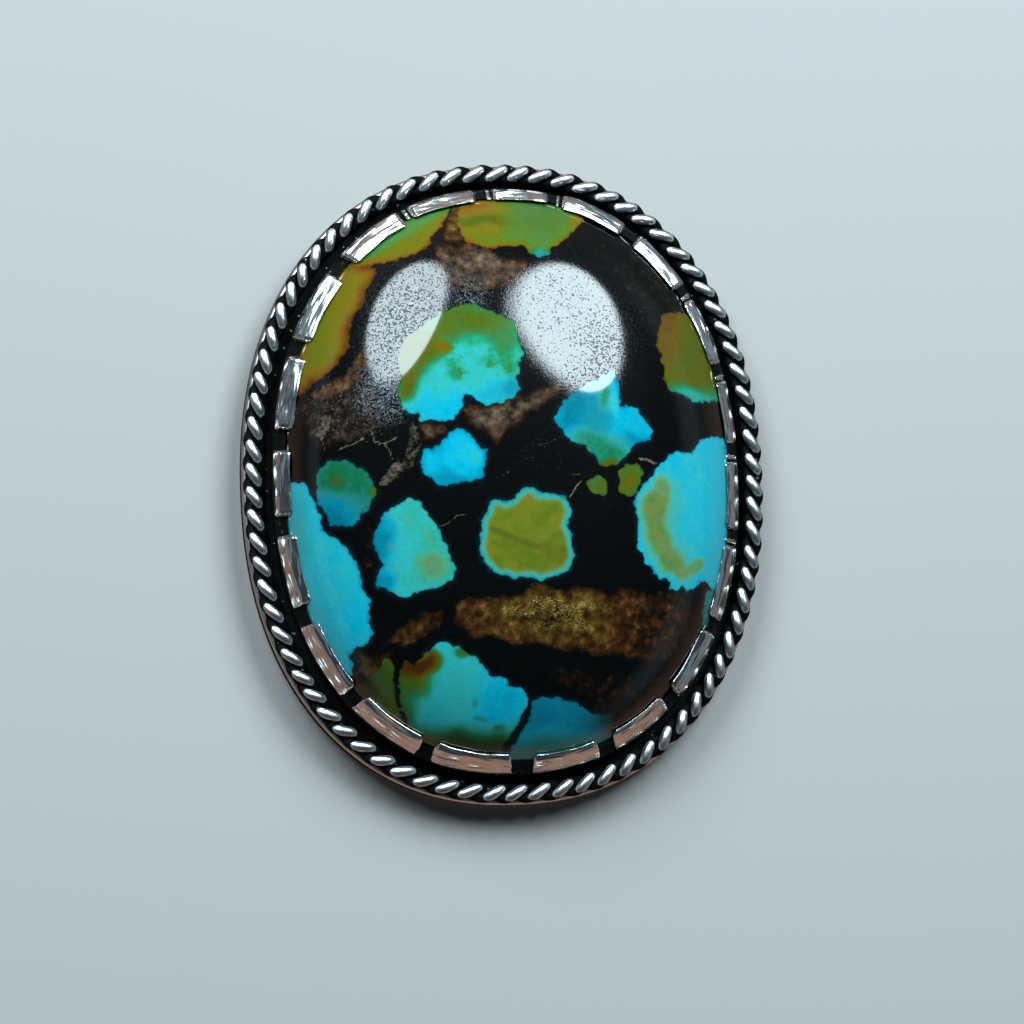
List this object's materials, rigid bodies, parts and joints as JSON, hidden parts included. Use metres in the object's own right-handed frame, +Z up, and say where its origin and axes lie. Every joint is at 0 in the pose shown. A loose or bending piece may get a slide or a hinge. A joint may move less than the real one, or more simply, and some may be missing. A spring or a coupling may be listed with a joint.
{
  "type": "turquoise cabochon in a silver bezel setting",
  "caption": "Domed oval turquoise with dark matrix, held by the folded tabs of a notched silver bezel inside a twisted-wire rope border on a flat oval back plate.",
  "frame": {"origin": "middle of the back plate's flat underside", "axes": "+Z up through the dome, Y along the oval's long axis with +Y at the picture's top, +X to the picture's right"},
  "size_m": [0.031, 0.038, 0.0086],
  "materials": {
    "plate_silver": "satin, tarnished",
    "bezel_silver": "polished over black oxide",
    "rope_silver": "polished over black oxide",
    "turquoise": "polished"
  },
  "bodies": {
    "root": {"back_plate": "plate_silver", "bezel": "bezel_silver", "rope_wire_a": "rope_silver", "rope_wire_b": "rope_silver", "turquoise_stone": "turquoise"}
  },
  "joints": []
}
